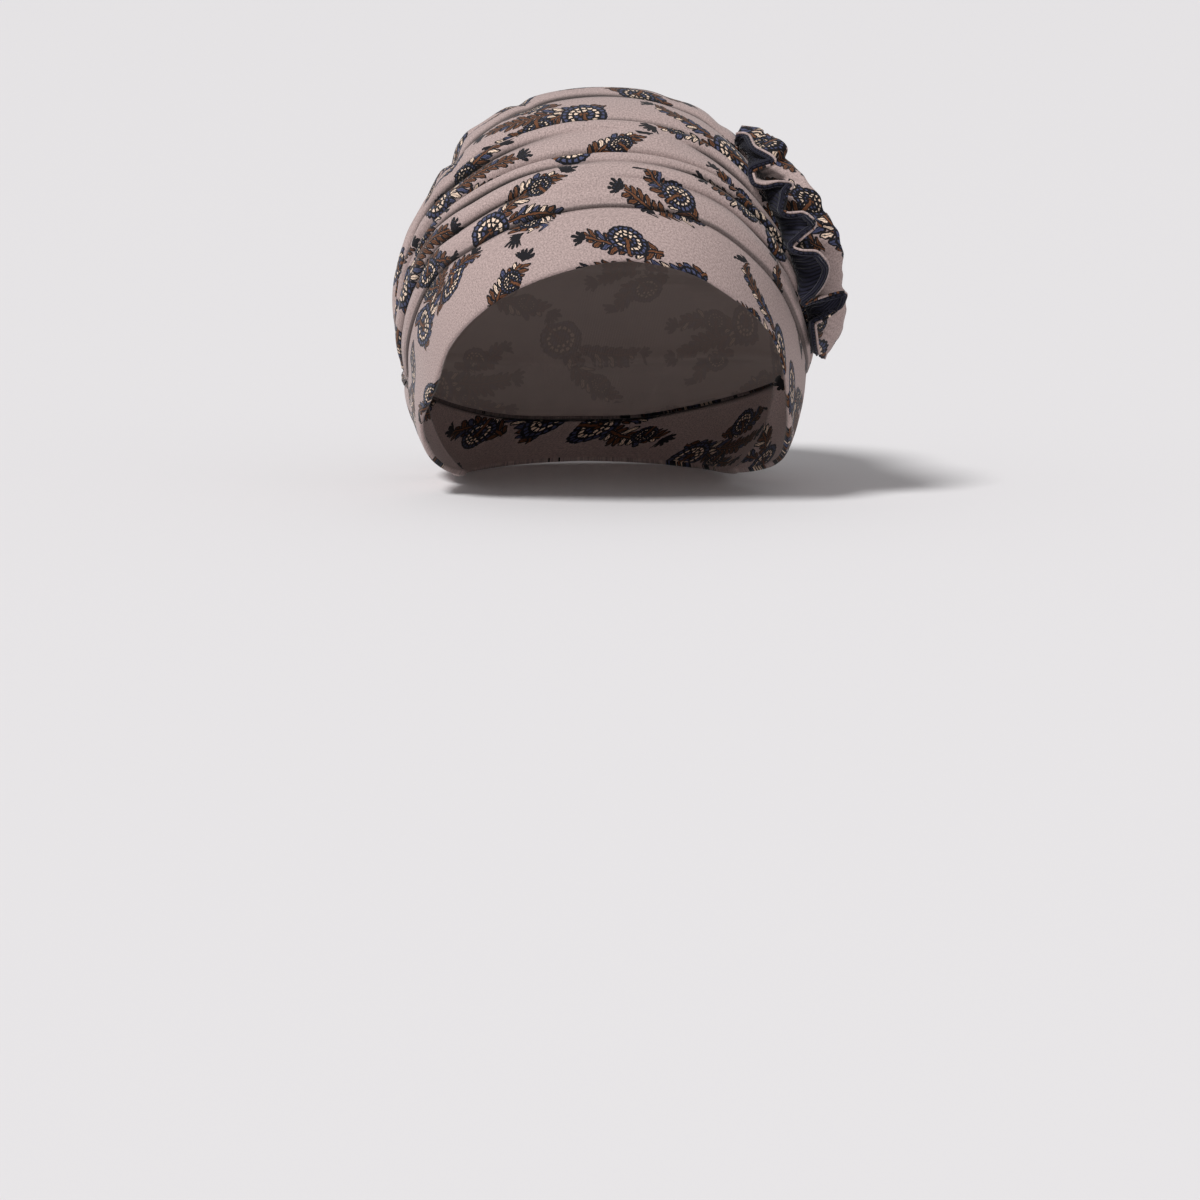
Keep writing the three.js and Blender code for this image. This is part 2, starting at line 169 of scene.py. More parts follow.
def gridPiece(name, grid, clothPlace, wraps=False, paintedShades=None):
    # a flat grid primitive whose points are then moved to their places on the cloth
    columns = len(grid)
    rows = len(grid[0])
    bpy.ops.object.select_all(action="DESELECT")
    bpy.ops.mesh.primitive_grid_add(x_subdivisions=columns - 1, y_subdivisions=rows - 1, size=2)
    piece = bpy.context.object
    piece.name = name
    piece.data.name = name
    mesh = piece.data
    cellOf = {}
    for v in mesh.vertices:
        i = round((v.co.x + 1) / 2 * (columns - 1))
        j = round((v.co.y + 1) / 2 * (rows - 1))
        cellOf[v.index] = (i, j)
    uvLayer = mesh.uv_layers.new(name="cloth") if not mesh.uv_layers else mesh.uv_layers[0]
    uvLayer.name = "cloth"
    for face in mesh.polygons:
        faceRow = min(cellOf[n][1] for n in face.vertices)
        for n in face.loop_indices:
            i, j = cellOf[mesh.loops[n].vertex_index]
            uvLayer.data[n].uv = clothPlace(i, j, faceRow)
    # the crease attribute holds painted shade: how much darker the colour is made where shade falls in
    # creases and by seams
    if paintedShades:
        layer = mesh.attributes.new("crease", "FLOAT", "POINT")
        for v in mesh.vertices:
            i, j = cellOf[v.index]
            layer.data[v.index].value = paintedShades[i][j]
    for v in mesh.vertices:
        i, j = cellOf[v.index]
        v.co = grid[i][j] * mm
    piece.location = (0, 0, 0)
    bpy.ops.object.mode_set(mode="EDIT")
    bpy.ops.mesh.select_all(action="SELECT")
    if wraps:
        bpy.ops.mesh.remove_doubles(threshold=0.01 * mm)
    bpy.ops.mesh.normals_make_consistent(inside=False)
    bpy.ops.object.mode_set(mode="OBJECT")
    return piece


def faceOutwards(piece):
    # an open sheet has no inside of its own, so its normals are set away from the head's middle
    outward = sum(f.normal.dot(f.center) for f in piece.data.polygons)
    if outward < 0:
        bpy.context.view_layer.objects.active = piece
        bpy.ops.object.mode_set(mode="EDIT")
        bpy.ops.mesh.select_all(action="SELECT")
        bpy.ops.mesh.flip_normals()
        bpy.ops.object.mode_set(mode="OBJECT")


def thicken(piece, wall, offset, insideMaterial=0):
    bpy.ops.object.select_all(action="DESELECT")
    piece.select_set(True)
    bpy.context.view_layer.objects.active = piece
    layer = piece.modifiers.new("wall", "SOLIDIFY")
    layer.thickness = wall * mm
    layer.offset = offset
    layer.material_offset = insideMaterial
    bpy.ops.object.modifier_apply(modifier=layer.name)
    bpy.ops.object.shade_smooth()


def clothMap(grid, turn, shift, crests=None):
    # lengths on the cloth, turned and shifted. Across the folds they are counted from the crest of each
    # fold, so that a tight crease swallows print, as it does where cloth is gathered.
    columns = len(grid)
    rows = len(grid[0])
    middle = columns // 2
    crests = crests or [0] * rows
    c = math.cos(turn * degree)
    s = math.sin(turn * degree)
    up = []
    for column in grid:
        far = [0]
        for j in range(1, rows):
            far.append(far[-1] + (column[j] - column[j - 1]).length)
        up.append(far)
    # lengths along the folds are taken on the bare form, where no fold makes one row longer than the next
    bare = [[onForm(p.normalized(), 0) for p in column] for column in grid]
    across = [[0] * rows for _ in range(columns)]
    for j in range(rows):
        for i in range(middle + 1, columns):
            across[i][j] = across[i - 1][j] + (bare[i][j] - bare[i - 1][j]).length
        for i in range(middle - 1, -1, -1):
            across[i][j] = across[i + 1][j] - (bare[i][j] - bare[i + 1][j]).length

    def place(i, j, faceRow):
        crest = crests[faceRow]
        x = across[i][j] + shift[0]
        y = up[middle][crest] + up[i][j] - up[i][crest] + shift[1]
        return (x * c - y * s) / clothUnit, (x * s + y * c) / clothUnit

    return place


# Node helpers


def newGroup(name, inputs, outputs):
    tree = bpy.data.node_groups.new(name, "ShaderNodeTree")
    for label, kind in inputs.items():
        tree.interface.new_socket(label, in_out="INPUT", socket_type="NodeSocket" + kind)
    for label, kind in outputs.items():
        tree.interface.new_socket(label, in_out="OUTPUT", socket_type="NodeSocket" + kind)
    given = tree.nodes.new("NodeGroupInput").outputs
    out = tree.nodes.new("NodeGroupOutput").inputs
    return tree, given, out


def plug(tree, value, socket):
    if isinstance(value, bpy.types.NodeSocket):
        tree.links.new(value, socket)
    else:
        socket.default_value = value


def calc(tree, operation, *values):
    node = tree.nodes.new("ShaderNodeMath")
    node.operation = operation
    for value, socket in zip(values, node.inputs):
        plug(tree, value, socket)
    return node.outputs[0]


def times(tree, product, *factors):
    for factor in factors:
        product = calc(tree, "MULTIPLY", product, factor)
    return product


def ramp(tree, value, slope, start):
    return calc(tree, "MULTIPLY_ADD", value, slope, start)


def vecCalc(tree, operation, a, b=None):
    node = tree.nodes.new("ShaderNodeVectorMath")
    node.operation = operation
    plug(tree, a, node.inputs[0])
    if b is not None:
        plug(tree, b, node.inputs["Scale" if operation == "SCALE" else 1])
    return node.outputs["Value" if operation == "LENGTH" else "Vector"]


def split(tree, vector):
    node = tree.nodes.new("ShaderNodeSeparateXYZ")
    plug(tree, vector, node.inputs[0])
    return node.outputs[0], node.outputs[1]


def join(tree, x, y):
    node = tree.nodes.new("ShaderNodeCombineXYZ")
    plug(tree, x, node.inputs[0])
    plug(tree, y, node.inputs[1])
    return node.outputs[0]


def turned(tree, vector, angle):
    node = tree.nodes.new("ShaderNodeVectorRotate")
    node.rotation_type = "Z_AXIS"
    plug(tree, vector, node.inputs["Vector"])
    plug(tree, angle, node.inputs["Angle"])
    return node.outputs[0]


def blend(tree, mask, under, over):
    node = tree.nodes.new("ShaderNodeMix")
    node.data_type = "RGBA"
    plug(tree, mask, node.inputs[0])
    plug(tree, under, node.inputs[6])
    plug(tree, over, node.inputs[7])
    return node.outputs[2]


def noiseNode(tree, place, kind, scale, detail, roughness=0.5):
    node = tree.nodes.new("ShaderNodeTexNoise")
    node.noise_dimensions = kind
    node.inputs["Scale"].default_value = scale
    node.inputs["Detail"].default_value = detail
    node.inputs["Roughness"].default_value = roughness
    plug(tree, place, node.inputs["Vector"])
    return node


def chanceOf(tree, cell, row=None):
    # one number between 0 and 1 for each cell
    node = tree.nodes.new("ShaderNodeTexWhiteNoise")
    node.noise_dimensions = "1D" if row is None else "2D"
    if row is None:
        plug(tree, cell, node.inputs["W"])
    else:
        plug(tree, join(tree, cell, row), node.inputs["Vector"])
    return node.outputs["Value"]


def giveOut(tree, out, **values):
    for label, value in values.items():
        plug(tree, value, out[label])
    return tree


def useGroup(tree, group, **values):
    node = tree.nodes.new("ShaderNodeGroup")
    node.node_tree = group
    for label, value in values.items():
        plug(tree, value, node.inputs[label])
    return node.outputs


def srgb(red, green, blue):
    def linear(c):
        c = c / 255
        return c / 12.92 if c <= 0.04045 else ((c + 0.055) / 1.055) ** 2.4

    return (linear(red), linear(green), linear(blue), 1)


# The print: its inks, then sizes in millimetres, and swing in radians
inks = {
    "ground": srgb(172, 152, 148),
    "reverse": srgb(182, 168, 163),
    "outline": srgb(17, 15, 20),
    "slate": srgb(70, 75, 104),
    "cream": srgb(232, 206, 184),
    "brown": srgb(104, 64, 38),
    "navy": srgb(27, 27, 39),
}
clothPrint = {
    "repeatAcross": 62,
    "repeatUp": 41,
    "lineHalf": 0.47,
    "swing": 0.5,
    "shake": 1.1,
    "shakeScale": 0.55,
    "grainSize": 1.25,
    "grain": 2.0,
}
tuft = {
    "uneven": 0.38,
    "bellyTurn": 0.93 * math.pi,
    "bellyEnd": 1.08,
    "teeth": 22,
    "toothDepth": 0.2,
    "toothMiddle": 0.85,
    "tip": 1.06,
    "ribHalf": 0.13,
}


def makeLeafFan():
    # leaves spread from one point, pointing along +X
    tree, given, out = newGroup(
        "leafFan",
        {"Place": "Vector", "Length": "Float", "Leaves": "Float", "Slimness": "Float", "Opening": "Float"},
        {"Color": "Color", "Mask": "Float"},
    )
    x, y = split(tree, given["Place"])
    far = vecCalc(tree, "LENGTH", given["Place"])
    angle = calc(tree, "ARCTAN2", y, x)
    turnShare = calc(tree, "DIVIDE", times(tree, angle, given["Leaves"]), fullTurn)
    number = calc(tree, "ROUND", turnShare)
    offAngle = times(tree, calc(tree, "SUBTRACT", turnShare, number), fullTurn)
    offAngle = calc(tree, "DIVIDE", offAngle, given["Leaves"])
    chance = chanceOf(tree, calc(tree, "ADD", number, given["Length"]))
    reach = times(tree, ramp(tree, chance, tuft["uneven"], 1 - tuft["uneven"]), given["Length"])
    along = calc(tree, "DIVIDE", times(tree, far, calc(tree, "COSINE", offAngle)), reach)
    across = calc(tree, "ABSOLUTE", times(tree, far, calc(tree, "SINE", offAngle)))
    belly = times(tree, calc(tree, "MINIMUM", along, tuft["bellyEnd"]), tuft["bellyTurn"])
    teeth = calc(tree, "SINE", times(tree, along, tuft["teeth"]))
    teeth = ramp(tree, teeth, tuft["toothDepth"], tuft["toothMiddle"])
    half = times(tree, calc(tree, "SINE", belly), teeth, given["Slimness"], given["Length"])
    depth = calc(tree, "SUBTRACT", half, across)
    halfOpening = times(tree, given["Opening"], math.pi)
    inFan = calc(tree, "LESS_THAN", calc(tree, "ABSOLUTE", angle), halfOpening)
    onLeaf = calc(tree, "GREATER_THAN", depth, -clothPrint["lineHalf"])
    mask = times(tree, onLeaf, inFan, calc(tree, "LESS_THAN", along, tuft["tip"]))
    fill = times(tree, calc(tree, "GREATER_THAN", depth, clothPrint["lineHalf"]), mask)
    besideRib = calc(tree, "GREATER_THAN", across, tuft["ribHalf"])
    color = blend(tree, times(tree, fill, besideRib), inks["outline"], inks["slate"])
    return giveOut(tree, out, Color=color, Mask=mask)


stem = {
    "bow": 0.1,
    "bowTurn": 3,
    "leafLean": 0.8,
    "stagger": 0.25,
    "bellyTurn": 2.5,
    "bellyStart": 0.45,
    "shortLeaf": 0.62,
    "uneven": 0.4,
    "plump": 1.05,
    "outline": 1.8,
    "ribHalf": 0.12,
    "half": 0.95,
    "coreHalf": 0.4,
    "inkMix": 17,
    "slateLeaves": 0.1,
    "creamLeaves": 0.76,
}


def makeLeafyStem():
    # leaves in pairs along a bowed stem that runs along +X, the longest near its middle
    tree, given, out = newGroup(
        "leafyStem",
        {"Place": "Vector", "Length": "Float", "Width": "Float", "Pitch": "Float"},
        {"Color": "Color", "Mask": "Float"},
    )
    length = given["Length"]
    pitch = given["Pitch"]
    x, y = split(tree, given["Place"])
    run = calc(tree, "DIVIDE", x, length)
    bow = calc(tree, "SINE", times(tree, run, stem["bowTurn"]))
    y = calc(tree, "SUBTRACT", y, times(tree, bow, length, stem["bow"]))
    far = calc(tree, "ABSOLUTE", y)
    which = calc(tree, "SIGN", y)
    leaned = calc(tree, "SUBTRACT", x, times(tree, far, stem["leafLean"]))
    place = calc(tree, "ADD", calc(tree, "DIVIDE", leaned, pitch), times(tree, which, stem["stagger"]))
    number = calc(tree, "FLOOR", place)
    across = calc(tree, "ABSOLUTE", calc(tree, "SUBTRACT", calc(tree, "FRACT", place), 0.5))
    across = times(tree, across, pitch)
    chance = chanceOf(tree, number, times(tree, which, length))
    leafRun = calc(tree, "DIVIDE", times(tree, calc(tree, "ADD", number, 0.5), pitch), length)
    inside = calc(tree, "COMPARE", leafRun, 0.5, 0.5)
    belly = calc(tree, "SINE", ramp(tree, leafRun, stem["bellyTurn"], stem["bellyStart"]))
    reach = times(tree, calc(tree, "SQRT", calc(tree, "MAXIMUM", belly, 0.01)), given["Width"])
    reach = times(tree, reach, ramp(tree, chance, stem["uneven"], stem["shortLeaf"]))
    share = calc(tree, "MINIMUM", calc(tree, "DIVIDE", far, reach), 1)
    oval = calc(tree, "SQRT", times(tree, share, calc(tree, "SUBTRACT", 1, share)))
    depth = calc(tree, "SUBTRACT", times(tree, oval, pitch, stem["plump"]), across)
    leaf = times(tree, calc(tree, "GREATER_THAN", depth, 0), inside)
    fill = calc(tree, "GREATER_THAN", depth, clothPrint["lineHalf"] * stem["outline"])
    fill = times(tree, fill, calc(tree, "GREATER_THAN", across, stem["ribHalf"]))
    onStem = calc(tree, "LESS_THAN", far, stem["half"])
    onStem = times(tree, onStem, calc(tree, "COMPARE", run, 0.5, 0.5))
    # each leaf takes its own ink
    ink = calc(tree, "FRACT", times(tree, chance, stem["inkMix"]))
    isCream = calc(tree, "GREATER_THAN", ink, stem["creamLeaves"])
    color = blend(tree, isCream, inks["brown"], inks["cream"])
    color = blend(tree, calc(tree, "LESS_THAN", ink, stem["slateLeaves"]), color, inks["slate"])
    color = blend(tree, fill, inks["outline"], color)
    color = blend(tree, onStem, color, inks["outline"])
    color = blend(tree, calc(tree, "LESS_THAN", far, stem["coreHalf"]), color, inks["brown"])
    return giveOut(tree, out, Color=color, Mask=calc(tree, "MAXIMUM", leaf, onStem))


rosetteCells = {
    "rings": 4,
    "perRing": 5.7,
    "bumpDepth": 0.35,
    "outerLine": 0.28,
    "creamRing": 2,
    "mixedFade": 0.65,
    "stemHalf": 1.1,
    "stemCore": 0.6,
}


def makeRosette():
    # rings of small cells round a brown heart, open towards -Y where the stem comes in
    tree, given, out = newGroup(
        "ringRosette",
        {"Place": "Vector", "Radius": "Float", "Squash": "Float"},
        {"Color": "Color", "Mask": "Float"},
    )
    rings = rosetteCells["rings"]
    x, y = split(tree, given["Place"])
    y = calc(tree, "DIVIDE", y, given["Squash"])
    angle = calc(tree, "ARCTAN2", x, y)
    outerCells = round(rosetteCells["perRing"] * (rings - 0.5))
    bumps = calc(tree, "ABSOLUTE", calc(tree, "SINE", times(tree, angle, outerCells / 2)))
    far = vecCalc(tree, "LENGTH", join(tree, x, y))
    far = ramp(tree, calc(tree, "SUBTRACT", 1, bumps), rosetteCells["bumpDepth"], far)
    ring = times(tree, calc(tree, "DIVIDE", far, given["Radius"]), rings)
    number = calc(tree, "FLOOR", ring)
    inRing = calc(tree, "FRACT", ring)
    cells = times(tree, calc(tree, "ADD", number, 0.5), rosetteCells["perRing"])
    cells = calc(tree, "ROUND", cells)
    cellTurn = times(tree, calc(tree, "DIVIDE", angle, fullTurn), cells)
    turnShare = calc(tree, "FRACT", cellTurn)
    ringWide = calc(tree, "DIVIDE", given["Radius"], rings)
    edgeIn = calc(tree, "MINIMUM", inRing, calc(tree, "SUBTRACT", 1, inRing))
    edgeIn = times(tree, edgeIn, ringWide)
    cellWide = calc(tree, "DIVIDE", times(tree, far, fullTurn), cells)
    edgeSide = calc(tree, "MINIMUM", turnShare, calc(tree, "SUBTRACT", 1, turnShare))
    edgeSide = times(tree, edgeSide, cellWide)
    inCell = calc(tree, "GREATER_THAN", calc(tree, "MINIMUM", edgeIn, edgeSide), clothPrint["lineHalf"])
    # one ring is cream, the one inside it is mixed, and the outer one is slate
    chance = chanceOf(tree, calc(tree, "FLOOR", cellTurn), number)
    fromCream = calc(tree, "ABSOLUTE", calc(tree, "SUBTRACT", number, rosetteCells["creamRing"]))
    creamShare = calc(tree, "SUBTRACT", 1, times(tree, fromCream, rosetteCells["mixedFade"]))
    isCream = calc(tree, "LESS_THAN", chance, creamShare)
    isCream = times(tree, isCream, calc(tree, "LESS_THAN", number, rings - 1.5))
    color = blend(tree, isCream, inks["slate"], inks["cream"])
    color = blend(tree, calc(tree, "LESS_THAN", number, 0.5), color, inks["brown"])
    color = blend(tree, inCell, inks["outline"], color)
    # the stem comes in at the foot, with a dark line on each side
    fromFoot = calc(tree, "SUBTRACT", math.pi, calc(tree, "ABSOLUTE", angle))
    fromStem = times(tree, fromFoot, far)
    for half, ink in (("stemHalf", "outline"), ("stemCore", "brown")):
        color = blend(tree, calc(tree, "LESS_THAN", fromStem, rosetteCells[half]), color, inks[ink])
    mask = calc(tree, "LESS_THAN", ring, rings + rosetteCells["outerLine"])
    return giveOut(tree, out, Color=color, Mask=mask)


# The sprays' parts: kind, place and turn on the cloth, and sizes. A later row covers an earlier one.
clusterSpray = [
    ("stem", (-26, -3), 4, {"Length": 50, "Width": 7.2, "Pitch": 3.5}),
    ("stem", (-12, 3), 24, {"Length": 33, "Width": 6.4, "Pitch": 3.2}),
    ("stem", (-8, -6), -16, {"Length": 30, "Width": 6.0, "Pitch": 3.3}),
    ("tuft", (24, 1), 2, {"Length": 7.0, "Leaves": 15, "Slimness": 0.1, "Opening": 0.36}),
    ("tuft", (19, 15), 35, {"Length": 6.5, "Leaves": 15, "Slimness": 0.1, "Opening": 0.34}),
    ("tuft", (21, -13), -30, {"Length": 6.0, "Leaves": 15, "Slimness": 0.1, "Opening": 0.3}),
    ("rosette", (-18, 6), 200, {"Radius": 8.8, "Squash": 1.0}),
    ("rosette", (5, -10), 160, {"Radius": 7.6, "Squash": 0.8}),
    ("rosette", (0, 12), 15, {"Radius": 6.2, "Squash": 0.85}),
]
sprigSpray = [
    ("stem", (-15, -4), 30, {"Length": 34, "Width": 6.6, "Pitch": 3.3}),
    ("stem", (-8, -4), -12, {"Length": 26, "Width": 5.6, "Pitch": 3.1}),
    ("tuft", (15, 14), 45, {"Length": 7.0, "Leaves": 17, "Slimness": 0.09, "Opening": 0.34}),
    ("tuft", (18, -10), -20, {"Length": 6.0, "Leaves": 15, "Slimness": 0.1, "Opening": 0.3}),
    ("rosette", (-17, -5), -65, {"Radius": 8.8, "Squash": 1.0}),
    ("rosette", (6, 9), 30, {"Radius": 5.6, "Squash": 0.8}),
]


def makeSpray(name, parts, motifs):
    tree, given, out = newGroup(name, {"Place": "Vector"}, {"Color": "Color", "Mask": "Float"})
    color = inks["outline"]
    mask = 0.0
    for kind, at, turn, sizes in parts:
        place = turned(tree, vecCalc(tree, "SUBTRACT", given["Place"], (*at, 0)), -turn * degree)
        drawn = useGroup(tree, motifs[kind], Place=place, **sizes)
        color = blend(tree, drawn["Mask"], color, drawn["Color"])
        mask = calc(tree, "MAXIMUM", mask, drawn["Mask"])
    return giveOut(tree, out, Color=color, Mask=mask)


def makePrint(clusters, sprigs):
    # sprays in a half-drop repeat, each turned its own way, on a flecked ground
    tree, given, out = newGroup("printedJersey", {"Vector": "Vector"}, {"Color": "Color", "Mask": "Float"})
    inMillimetres = vecCalc(tree, "SCALE", given["Vector"], clothUnit)
    # lines are a little shaky, as printed ones are
    shake = noiseNode(tree, inMillimetres, "2D", clothPrint["shakeScale"], 1)
    shake = vecCalc(tree, "SUBTRACT", shake.outputs["Color"], (0.5, 0.5, 0.5))
    shake = vecCalc(tree, "SCALE", shake, clothPrint["shake"])
    x, y = split(tree, vecCalc(tree, "ADD", inMillimetres, shake))
    up = calc(tree, "DIVIDE", y, clothPrint["repeatUp"])
    row = calc(tree, "FLOOR", up)
    over = calc(tree, "DIVIDE", x, clothPrint["repeatAcross"])
    over = calc(tree, "ADD", over, times(tree, row, 0.5))
    cell = calc(tree, "FLOOR", over)
    chance = chanceOf(tree, cell, row)
    localX = calc(tree, "SUBTRACT", calc(tree, "FRACT", over), 0.5)
    localX = times(tree, localX, clothPrint["repeatAcross"])
    localY = calc(tree, "SUBTRACT", calc(tree, "FRACT", up), 0.5)
    localY = times(tree, localY, clothPrint["repeatUp"])
    halfTurn = times(tree, calc(tree, "ROUND", chance), math.pi)
    swing = ramp(tree, chance, 2 * clothPrint["swing"], -clothPrint["swing"])
    place = turned(tree, join(tree, localX, localY), calc(tree, "ADD", halfTurn, swing))
    cluster = useGroup(tree, clusters, Place=place)
    sprig = useGroup(tree, sprigs, Place=place)
    # clusters and sprigs take turns along a row
    isSprig = calc(tree, "PINGPONG", calc(tree, "ADD", cell, row), 1)
    motifColor = blend(tree, isSprig, cluster["Color"], sprig["Color"])
    motifMask = times(tree, cluster["Mask"], calc(tree, "SUBTRACT", 1, isSprig))
    motifMask = ramp(tree, sprig["Mask"], isSprig, motifMask)
    fleck = noiseNode(tree, inMillimetres, "2D", clothPrint["grainSize"], 4, 0.8)
    grain = ramp(tree, fleck.outputs["Fac"], clothPrint["grain"], 1 - clothPrint["grain"] / 2)
    color = blend(tree, motifMask, inks["ground"], motifColor)
    return giveOut(tree, out, Color=vecCalc(tree, "SCALE", color, grain), Mask=motifMask)


def makeKnit():
    # wales and courses of fine jersey, as a height
    tree, given, out = newGroup("jerseyStitches", {"Vector": "Vector", "Pitch": "Float"}, {"Height": "Float"})
    x, y = split(tree, vecCalc(tree, "SCALE", given["Vector"], clothUnit))
    wale = calc(tree, "DIVIDE", x, given["Pitch"])
    lean = calc(tree, "ABSOLUTE", calc(tree, "SINE", times(tree, wale, math.pi)))
    course = calc(tree, "ADD", calc(tree, "DIVIDE", y, given["Pitch"]), times(tree, lean, 0.5))
    loops = calc(tree, "ABSOLUTE", calc(tree, "SINE", times(tree, course, math.pi)))
    return giveOut(tree, out, Height=ramp(tree, loops, 0.4, lean))


motifs = {"tuft": makeLeafFan(), "stem": makeLeafyStem(), "rosette": makeRosette()}
clusterGroup = makeSpray("clusterSpray", clusterSpray, motifs)
sprigGroup = makeSpray("sprigSpray", sprigSpray, motifs)
printGroup = makePrint(clusterGroup, sprigGroup)
knitGroup = makeKnit()

# The finished cloths: sizes in millimetres, the rest as shares
jersey = {
    "stitch": 0.7,
    "showThrough": 0.22,
    "toneChange": 0.05,
    "toneSize": 45,
    # how strongly the crease attribute darkens the colour, as painted shade
    "paintedShadeStrength": 0.88,
    "bump": 0.35,
    "bumpDepth": 0.12,
    "Roughness": 0.82,
    "Sheen Weight": 0.18,
    "Sheen Roughness": 0.45,
    "Specular IOR Level": 0.25,
}
ribKnit = {
    "pitch": 1.5,
    "rimPitch": 0.8,
    "yarnScale": 260,
    "yarnContrast": 1.3,
    "yarnStart": 0.3,
    # painted highlight on the rib's ridges and painted shade in its hollows
    "paintedRidgeLight": 1.7,
    "paintedHollowTone": 0.15,
    "toneChange": 0.1,
    "toneSize": 20,
    # how strongly the crease attribute darkens the colour, as painted shade
    "paintedShadeStrength": 0.75,
    "bump": 0.9,
    "bumpDepth": 0.35,
    "Roughness": 0.9,
    "Sheen Weight": 0.16,
    "Sheen Roughness": 0.4,
    "Specular IOR Level": 0.15,
}


def newMaterial(name):
    material = bpy.data.materials.new(name)
    material.use_nodes = True
    tree = material.node_tree
    cloth = tree.nodes.new("ShaderNodeUVMap")
    cloth.uv_map = "cloth"
    return material, tree, cloth.outputs[0]


def softVariation(tree, color, finish):
    # broad, faint changes of tone over the piece, as cloth that has been worn and washed has
    place = tree.nodes.new("ShaderNodeTexCoord").outputs["Object"]
    broad = noiseNode(tree, place, "3D", 1 / (finish["toneSize"] * mm), 3)
    tone = ramp(tree, broad.outputs["Fac"], 2 * finish["toneChange"], 1 - finish["toneChange"])
    return vecCalc(tree, "SCALE", color, tone)


def paintCreaseShade(tree, color, finish):
    # painted shade: the colour is darkened by the crease attribute, which stands in for the shade that falls
    # deep in creases and along seams
    attribute = tree.nodes.new("ShaderNodeAttribute")
    attribute.attribute_name = "crease"
    tone = ramp(tree, attribute.outputs["Fac"], -finish["paintedShadeStrength"], 1)
    return vecCalc(tree, "SCALE", color, tone)


def finishCloth(tree, color, height, finish):
    shader = tree.nodes["Principled BSDF"]
    tree.links.new(color, shader.inputs["Base Color"])
    bump = tree.nodes.new("ShaderNodeBump")
    bump.inputs["Strength"].default_value = finish["bump"]
    bump.inputs["Distance"].default_value = finish["bumpDepth"] * mm
    tree.links.new(height, bump.inputs["Height"])
    tree.links.new(bump.outputs[0], shader.inputs["Normal"])
    for label in ("Roughness", "Sheen Weight", "Sheen Roughness", "Specular IOR Level"):
        shader.inputs[label].default_value = finish[label]


def jerseyMaterial(name, printed):
    material, tree, cloth = newMaterial(name)
    drawn = useGroup(tree, printGroup, Vector=cloth)
    color = drawn["Color"]
    if not printed:
        # the print's dyes show faintly through to the plain reverse
        color = blend(tree, times(tree, drawn["Mask"], jersey["showThrough"]), inks["reverse"], color)
    color = softVariation(tree, color, jersey)
    # painted crease shade goes on the printed side only
    if printed:
        color = paintCreaseShade(tree, color, jersey)
    stitches = useGroup(tree, knitGroup, Vector=cloth, Pitch=jersey["stitch"])
    finishCloth(tree, color, stitches["Height"], jersey)
    return material


def ribMaterial(name, pitch, acrossTheEdge):
    material, tree, cloth = newMaterial(name)
    x, y = split(tree, vecCalc(tree, "SCALE", cloth, clothUnit))
    fleck = noiseNode(tree, cloth, "3D", ribKnit["yarnScale"], 4, 0.75).outputs["Fac"]
    line = calc(tree, "DIVIDE", x if acrossTheEdge else y, pitch)
    ridge = calc(tree, "ABSOLUTE", calc(tree, "SINE", times(tree, line, math.pi)))
    yarn = ramp(tree, fleck, ribKnit["yarnContrast"], ribKnit["yarnStart"])
    # painted highlight on the ridges and painted shade in the hollows between them, over the real yarn flecks
    tone = times(tree, ramp(tree, ridge, ribKnit["paintedRidgeLight"], ribKnit["paintedHollowTone"]), yarn)
    color = vecCalc(tree, "SCALE", inks["navy"][:3], tone)
    # painted crease shade on the rib as well
    color = paintCreaseShade(tree, softVariation(tree, color, ribKnit), ribKnit)
    finishCloth(tree, color, ramp(tree, fleck, 0.5, ridge), ribKnit)
    return material


printedSide = jerseyMaterial("printed_jersey", True)
reverseSide = jerseyMaterial("jersey_reverse", False)
ribCloth = ribMaterial("navy_rib_knit", ribKnit["pitch"], True)
ribRim = ribMaterial("navy_rib_rim", ribKnit["rimPitch"], False)
print("materials made")

# The crown, in millimetres and degrees, with its flat sizes in metres
crown = {
    "wall": 2.0,
    "foldHeight": 7.5,
    "foldTaper": 0.9,
    "columns": 196,
    "rowsPerFold": 8,
    "rowsAtSeam": 3,
    "rowEasing": 1.6,
    "rightSide": -55,
    "leftSide": 32,
    "drift": 1.1,
    "bend": 3,
    "deepen": 1.5,
    # depth, curve and seam line of the painted crease shade
    "paintedShadeDepth": 1.9,
    "paintedShadeCurve": 1.3,
    "paintedSeamShade": 0.75,
    "fade": 0.7,
    "fadeLength": 17,
    "sharpness": 3.2,
    "tuckUnder": 0.8,
    "wrinkle": 0.55,
    "wrinkleLong": 26,
    "wrinkleCount": 34,
    "wrinkleLean": 0.012,
    "bunching": 0.9,
    "wander": 0.012,
    "wanderCount": 7,
    "hangTaper": 1.5,
    "printTurn": 8,
    "printShift": (11, 17),
    "flatAcross": 0.39,
    "flatUp": 0.43,
}
